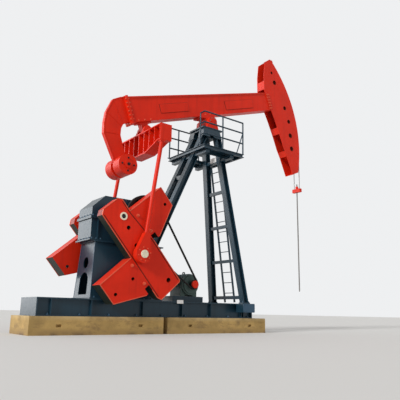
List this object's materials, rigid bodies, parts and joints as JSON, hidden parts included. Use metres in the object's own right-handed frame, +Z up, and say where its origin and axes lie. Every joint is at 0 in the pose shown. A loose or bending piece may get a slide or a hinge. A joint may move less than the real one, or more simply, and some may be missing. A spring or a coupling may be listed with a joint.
{
  "type": "beam pumping unit",
  "caption": "Beam pumping unit on a skid and concrete blocks: walking beam with horse head, tail weight, crank weights, gearbox, belt drive, motor, ladder and platform.",
  "frame": {"origin": "underside of the front concrete block, straight below the saddle bearing, on the middle plane", "axes": "+X along the skid towards the horse head, +Y towards the far side of the picture, +Z up"},
  "size_m": [9.1383, 2.3, 9.148],
  "materials": {
    "red_paint": "semi-gloss red-orange paint, lightly weathered",
    "navy_paint": "semi-gloss dark blue paint",
    "motor_paint": "grey-green paint",
    "cream_paint": "cream white paint",
    "black_iron": "black painted cast iron",
    "belt_rubber": "matte black",
    "rope_steel": "greased steel wire rope",
    "bare_steel": "bare steel",
    "concrete": null
  },
  "bodies": {
    "base": {"concrete_rear": "concrete", "concrete_front": "concrete", "skid_rail_near": "navy_paint", "skid_rail_far": "navy_paint", "skid_crossbeams": "navy_paint", "front_outriggers": "navy_paint", "pedestal": "navy_paint", "gearbox_lower_case": "navy_paint", "gearbox_upper_case": "navy_paint", "bearing_caps": "navy_paint", "belt_sheave": "black_iron", "brake_drum": "black_iron", "motor": "motor_paint", "motor_rails": "navy_paint", "motor_pulley": "black_iron", "pulley_cap": "red_paint", "drive_belts": "belt_rubber", "front_leg_near": "navy_paint", "front_leg_far": "navy_paint", "rear_leg_near": "navy_paint", "rear_leg_far": "navy_paint", "front_crossbars": "navy_paint", "rear_ties": "navy_paint", "tower_head": "navy_paint", "saddle_bearings": "red_paint", "ladder": "navy_paint", "platform_beams": "navy_paint", "platform_deck": "navy_paint", "guard_rail_near": "navy_paint", "guard_rail_far": "navy_paint"},
    "beam": {"walking_beam": "red_paint", "saddle_seat": "red_paint", "tail_arm": "red_paint", "tail_weights": "red_paint", "tail_bearing_bracket": "red_paint", "head_plate_near": "red_paint", "head_plate_far": "red_paint", "head_face": "red_paint", "bridle_wrap": "rope_steel"},
    "links": {"crossbeam": "red_paint", "tail_bearing_housings": "red_paint", "pitman_near": "red_paint", "pitman_far": "red_paint", "crank_pin_caps": "cream_paint"},
    "cranks": {"crank_shaft": "bare_steel", "crank_near": "red_paint", "crank_far": "red_paint", "crank_weights_near": "red_paint", "crank_weights_far": "red_paint", "hub_rings": "cream_paint"},
    "carrier": {"bridle_ropes": "rope_steel", "carrier_bar": "red_paint", "polished_rod": "bare_steel"}
  },
  "joints": [
    {"name": "crank_turn", "type": "hinge", "parent": "base", "child": "cranks", "pos_m": [-3.17, 0, 2.72], "axis": [0, -1, 0], "range_deg": [-6, 136]},
    {"name": "beam_rock", "type": "hinge", "parent": "base", "child": "beam", "pos_m": [0, 0, 6.12], "axis": [0, -1, 0], "range_deg": [-45.25, 2]},
    {"name": "link_swing", "type": "hinge", "parent": "beam", "child": "links", "pos_m": [-2.17469, 0, 5.37119], "axis": [0, -1, 0], "range_deg": [-1.72, 39.03]},
    {"name": "carrier_lift", "type": "slide", "parent": "base", "child": "carrier", "axis": [0, 0, 1], "range_m": [-3.16935, 0.13982], "deforming": ["bridle_ropes"]}
  ],
  "couplings": [
    {"joint": "beam_rock", "follows": "crank_turn", "ratio": -0.3327},
    {"joint": "link_swing", "follows": "crank_turn", "ratio": 0.287},
    {"joint": "carrier_lift", "follows": "crank_turn", "m_per_rad": -1.3352}
  ]
}
